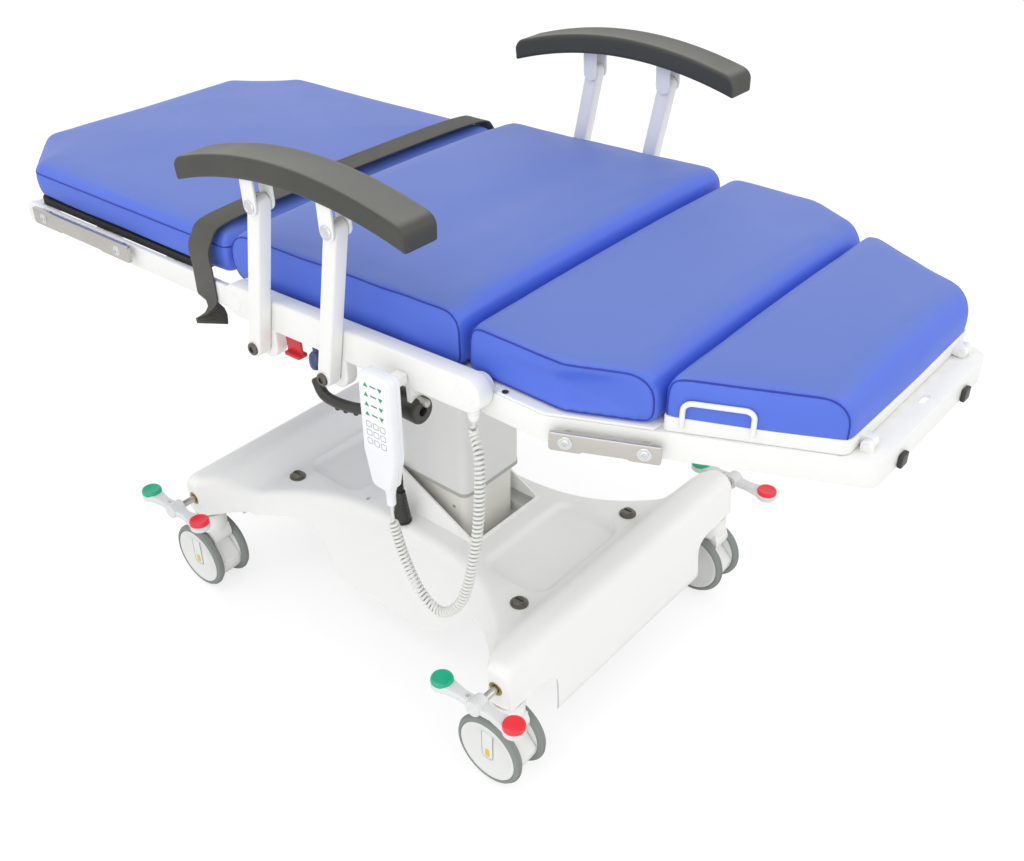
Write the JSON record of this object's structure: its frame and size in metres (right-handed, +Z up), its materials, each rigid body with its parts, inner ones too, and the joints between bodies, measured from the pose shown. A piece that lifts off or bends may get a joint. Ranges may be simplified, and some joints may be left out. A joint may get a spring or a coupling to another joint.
{
  "type": "procedure chair",
  "caption": "Mobile procedure chair with padded back, seat, leg and foot sections on a lifting column, folding armrests, twin-wheel casters, brake pedals and a corded handset.",
  "frame": {"origin": "floor level under the middle of the base, within 10 mm of the centre of the overall box", "axes": "+X to the foot end, -Y to the side with the handset, +Z up"},
  "size_m": [1.58, 0.7755, 0.9508],
  "materials": {
    "powder_white": "satin",
    "moulded_white": "satin",
    "column_grey": "satin",
    "column_pale": "satin",
    "blue_vinyl": "satin",
    "arm_foam": "matte",
    "black_plastic": "matte",
    "steel": "satin",
    "deck_grey": "satin",
    "tyre_rubber": "matte",
    "webbing": "matte",
    "pedal_plastic": "satin",
    "handset_plastic": "satin",
    "cord_jacket": "satin",
    "knob_blue": "gloss",
    "tab_red": "satin"
  },
  "bodies": {
    "base": {"base_cover": "moulded_white", "base_frame": "powder_white", "column_lower": "column_pale", "cover_knob_near_head": "black_plastic", "cover_knob_far_head": "black_plastic", "cover_knob_near_foot": "black_plastic", "cover_knob_far_foot": "black_plastic", "conduit_boot": "black_plastic", "cable_conduit": "black_plastic"},
    "brake_head": {"brake_shaft_head": "steel", "pedal_near_head": "pedal_plastic", "pedal_far_head": "pedal_plastic"},
    "brake_foot": {"brake_shaft_foot": "steel", "pedal_near_foot": "pedal_plastic", "pedal_far_foot": "pedal_plastic"},
    "caster_near_head": {"caster_housing_near_head": "powder_white"},
    "wheels_near_head": {"wheels_near_head": "tyre_rubber"},
    "caster_far_head": {"caster_housing_far_head": "powder_white"},
    "wheels_far_head": {"wheels_far_head": "tyre_rubber"},
    "caster_near_foot": {"caster_housing_near_foot": "powder_white"},
    "wheels_near_foot": {"wheels_near_foot": "tyre_rubber"},
    "caster_far_foot": {"caster_housing_far_foot": "powder_white"},
    "wheels_far_foot": {"wheels_far_foot": "tyre_rubber"},
    "lift": {"column_upper": "column_grey", "tilt_head": "powder_white"},
    "seat": {"seat_beam_near": "powder_white", "seat_beam_far": "powder_white", "seat_frame": "powder_white", "seat_deck": "deck_grey", "seat_cushion": "blue_vinyl", "handset_hook": "powder_white", "handset": "handset_plastic", "handset_cord": "cord_jacket", "cord_gland": "powder_white", "lever_stop_pin": "steel"},
    "lever": {"release_lever": "black_plastic"},
    "lock_knob": {"arm_lock_knob": "knob_blue"},
    "release_tab": {"arm_release_tab": "tab_red"},
    "back": {"back_frame": "powder_white", "back_board": "black_plastic", "back_cushion": "blue_vinyl", "back_rail_near": "steel", "back_rail_far": "steel", "strap": "webbing"},
    "leg": {"leg_frame": "powder_white", "leg_deck": "deck_grey", "leg_cushion": "blue_vinyl", "leg_rail_near": "steel", "leg_rail_far": "steel", "bumper_near": "black_plastic", "bumper_far": "black_plastic"},
    "foot": {"foot_tray": "powder_white", "foot_cushion": "blue_vinyl", "tray_handle": "powder_white"},
    "arm_rear_near": {"arm_post_rear_near": "powder_white"},
    "arm_front_near": {"arm_post_front_near": "powder_white"},
    "arm_top_near": {"arm_pad_near": "arm_foam"},
    "arm_rear_far": {"arm_post_rear_far": "powder_white"},
    "arm_front_far": {"arm_post_front_far": "powder_white"},
    "arm_top_far": {"arm_pad_far": "arm_foam"}
  },
  "joints": [
    {"name": "lift", "type": "slide", "parent": "base", "child": "lift", "axis": [0, 0, 1], "range_m": [-0.09, 0.17], "deforming": ["cable_conduit"]},
    {"name": "tilt", "type": "hinge", "parent": "lift", "child": "seat", "pos_m": [0.0043, 0, 0.65], "axis": [0, 1, 0], "range_deg": [-12, 12]},
    {"name": "back_hinge", "type": "hinge", "parent": "seat", "child": "back", "pos_m": [-0.0967, 0, 0.6965], "axis": [0, 1, 0], "range_deg": [0, 70], "deforming": ["back_cushion"]},
    {"name": "leg_hinge", "type": "hinge", "parent": "seat", "child": "leg", "pos_m": [0.33985, 0, 0.71632], "axis": [0, 1, 0], "range_deg": [0, 70]},
    {"name": "foot_flap", "type": "hinge", "parent": "leg", "child": "foot", "pos_m": [0.75935, 0, 0.72232], "axis": [0, 1, 0], "range_deg": [0, 95]},
    {"name": "arm_rear_near", "type": "hinge", "parent": "seat", "child": "arm_rear_near", "pos_m": [-0.03465, -0.3565, 0.65277], "axis": [0, 1, 0], "range_deg": [-78, 0]},
    {"name": "arm_front_near", "type": "hinge", "parent": "seat", "child": "arm_front_near", "pos_m": [0.1082, -0.3565, 0.65926], "axis": [0, 1, 0], "range_deg": [-78, 0]},
    {"name": "arm_top_near", "type": "hinge", "parent": "arm_rear_near", "child": "arm_top_near", "pos_m": [0.00735, -0.3565, 0.87631], "axis": [0, 1, 0], "range_deg": [0, 78]},
    {"name": "arm_rear_far", "type": "hinge", "parent": "seat", "child": "arm_rear_far", "pos_m": [-0.03465, 0.3565, 0.65277], "axis": [0, 1, 0], "range_deg": [-78, 0]},
    {"name": "arm_front_far", "type": "hinge", "parent": "seat", "child": "arm_front_far", "pos_m": [0.1082, 0.3565, 0.65926], "axis": [0, 1, 0], "range_deg": [-78, 0]},
    {"name": "arm_top_far", "type": "hinge", "parent": "arm_rear_far", "child": "arm_top_far", "pos_m": [0.00735, 0.3565, 0.87631], "axis": [0, 1, 0], "range_deg": [0, 78]},
    {"name": "brake_head", "type": "hinge", "parent": "base", "child": "brake_head", "pos_m": [-0.3567, 0, 0.2], "axis": [0, 1, 0], "range_deg": [-20, 20]},
    {"name": "brake_foot", "type": "hinge", "parent": "base", "child": "brake_foot", "pos_m": [0.3553, 0, 0.2], "axis": [0, 1, 0], "range_deg": [-20, 20]},
    {"name": "swivel_near_head", "type": "hinge", "parent": "base", "child": "caster_near_head", "pos_m": [-0.3567, -0.286, 0], "axis": [0, 0, 1], "continuous": true},
    {"name": "roll_near_head", "type": "hinge", "parent": "caster_near_head", "child": "wheels_near_head", "pos_m": [-0.3687, -0.286, 0.06253], "axis": [0, 1, 0], "continuous": true},
    {"name": "swivel_far_head", "type": "hinge", "parent": "base", "child": "caster_far_head", "pos_m": [-0.3567, 0.286, 0], "axis": [0, 0, 1], "continuous": true},
    {"name": "roll_far_head", "type": "hinge", "parent": "caster_far_head", "child": "wheels_far_head", "pos_m": [-0.3687, 0.286, 0.06253], "axis": [0, 1, 0], "continuous": true},
    {"name": "swivel_near_foot", "type": "hinge", "parent": "base", "child": "caster_near_foot", "pos_m": [0.3553, -0.286, 0], "axis": [0, 0, 1], "continuous": true},
    {"name": "roll_near_foot", "type": "hinge", "parent": "caster_near_foot", "child": "wheels_near_foot", "pos_m": [0.3433, -0.286, 0.06253], "axis": [0, 1, 0], "continuous": true},
    {"name": "swivel_far_foot", "type": "hinge", "parent": "base", "child": "caster_far_foot", "pos_m": [0.3553, 0.286, 0], "axis": [0, 0, 1], "continuous": true},
    {"name": "roll_far_foot", "type": "hinge", "parent": "caster_far_foot", "child": "wheels_far_foot", "pos_m": [0.3433, 0.286, 0.06253], "axis": [0, 1, 0], "continuous": true},
    {"name": "lever_pull", "type": "hinge", "parent": "seat", "child": "lever", "pos_m": [0.2373, -0.33, 0.651], "axis": [-1, 0, 0], "range_deg": [0, 30]},
    {"name": "lock_knob_pull", "type": "slide", "parent": "seat", "child": "lock_knob", "axis": [0.0454, 0, -0.999], "range_m": [0, 0.008], "stiffness_N_per_m": 400},
    {"name": "release_tab_push", "type": "hinge", "parent": "seat", "child": "release_tab", "pos_m": [-0.0076, -0.33075, 0.67222], "axis": [1, 0, 0], "range_deg": [0, 15], "stiffness_Nm_per_rad": 0.6}
  ],
  "couplings": [
    {"joint": "brake_foot", "follows": "brake_head", "ratio": 1},
    {"joint": "arm_front_near", "follows": "arm_rear_near", "ratio": 1},
    {"joint": "arm_top_near", "follows": "arm_rear_near", "ratio": -1},
    {"joint": "arm_front_far", "follows": "arm_rear_far", "ratio": 1},
    {"joint": "arm_top_far", "follows": "arm_rear_far", "ratio": -1}
  ]
}
